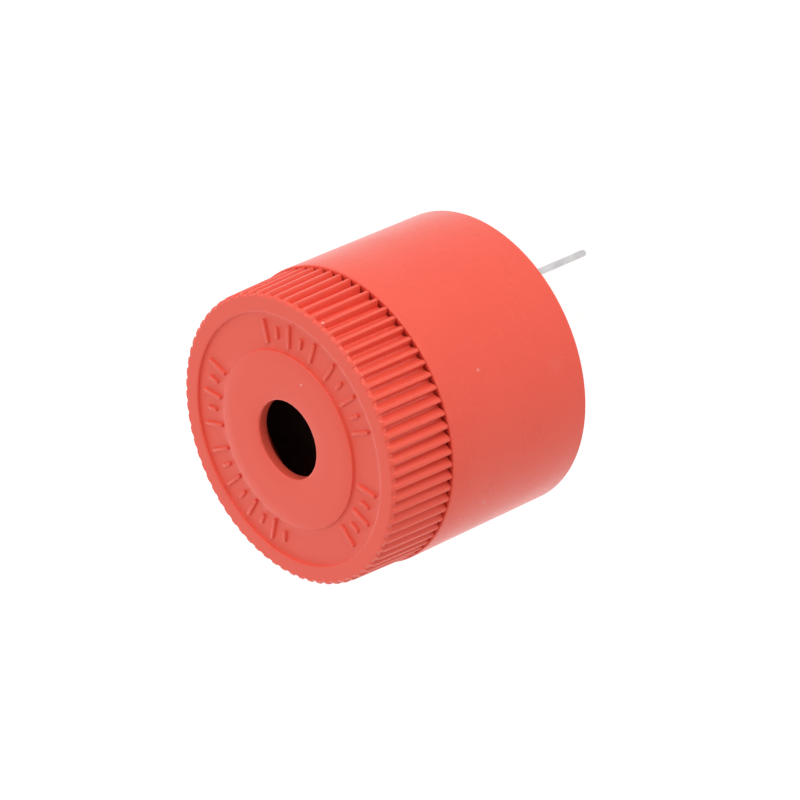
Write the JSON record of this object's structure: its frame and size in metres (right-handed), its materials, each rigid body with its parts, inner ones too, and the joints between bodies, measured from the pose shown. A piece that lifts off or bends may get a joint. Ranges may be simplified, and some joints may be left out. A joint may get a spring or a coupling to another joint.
{
  "type": "electronic buzzer",
  "caption": "Round piezo buzzer with a ribbed front cap, a central sound port, a plain housing and straight wire pins for a circuit board.",
  "frame": {"origin": "centre of the housing's back face, which sits on the circuit board that the buzzer is soldered to", "axes": "+Z along the body towards the sound port, the pins point down -Z, +X towards the positive pin"},
  "size_m": [0.0284, 0.0284, 0.0339],
  "materials": {
    "red_plastic": "fine satin, as moulded",
    "tinned_wire": "tinned, dull bright",
    "epoxy": "black, glossy",
    "lacquered_plate": "dark lacquer on the port side",
    "piezo_ceramic": "fired, matte",
    "silver_print": "printed silver, matte",
    "silicone": "cured silicone, satin",
    "solder": "bright solder",
    "red_insulation": "smooth",
    "blue_insulation": "smooth",
    "black_insulation": "smooth",
    "board_laminate": "green mask on glass laminate",
    "resistor_coat": "tan coating",
    "diode_glass": "amber glass",
    "black_moulding": "moulded epoxy",
    "ferrite": "sintered, matte",
    "enamelled_copper": "enamelled copper wire",
    "capacitor_dip": "dipped coating"
  },
  "bodies": {
    "root": {"front_cap": "red_plastic", "rear_housing": "red_plastic", "pin_positive": "tinned_wire", "pin_negative": "tinned_wire", "pin_seals": "epoxy", "piezo_plate": "lacquered_plate", "piezo_ceramic": "piezo_ceramic", "main_electrode": "silver_print", "feedback_electrode": "silver_print", "bond_ring": "silicone", "piezo_solder": "solder", "main_wire": "red_insulation", "feedback_wire": "blue_insulation", "ground_wire": "black_insulation", "circuit_board": "board_laminate", "board_solder": "solder", "resistor_1_body": "resistor_coat", "resistor_1_leads": "tinned_wire", "resistor_2_body": "resistor_coat", "resistor_2_leads": "tinned_wire", "resistor_3_body": "resistor_coat", "resistor_3_leads": "tinned_wire", "diode_body": "diode_glass", "diode_leads": "tinned_wire", "transistor_body": "black_moulding", "transistor_leads": "tinned_wire", "choke_core": "ferrite", "choke_winding": "enamelled_copper", "choke_leads": "tinned_wire", "capacitor_body": "capacitor_dip", "capacitor_leads": "tinned_wire"}
  },
  "joints": []
}
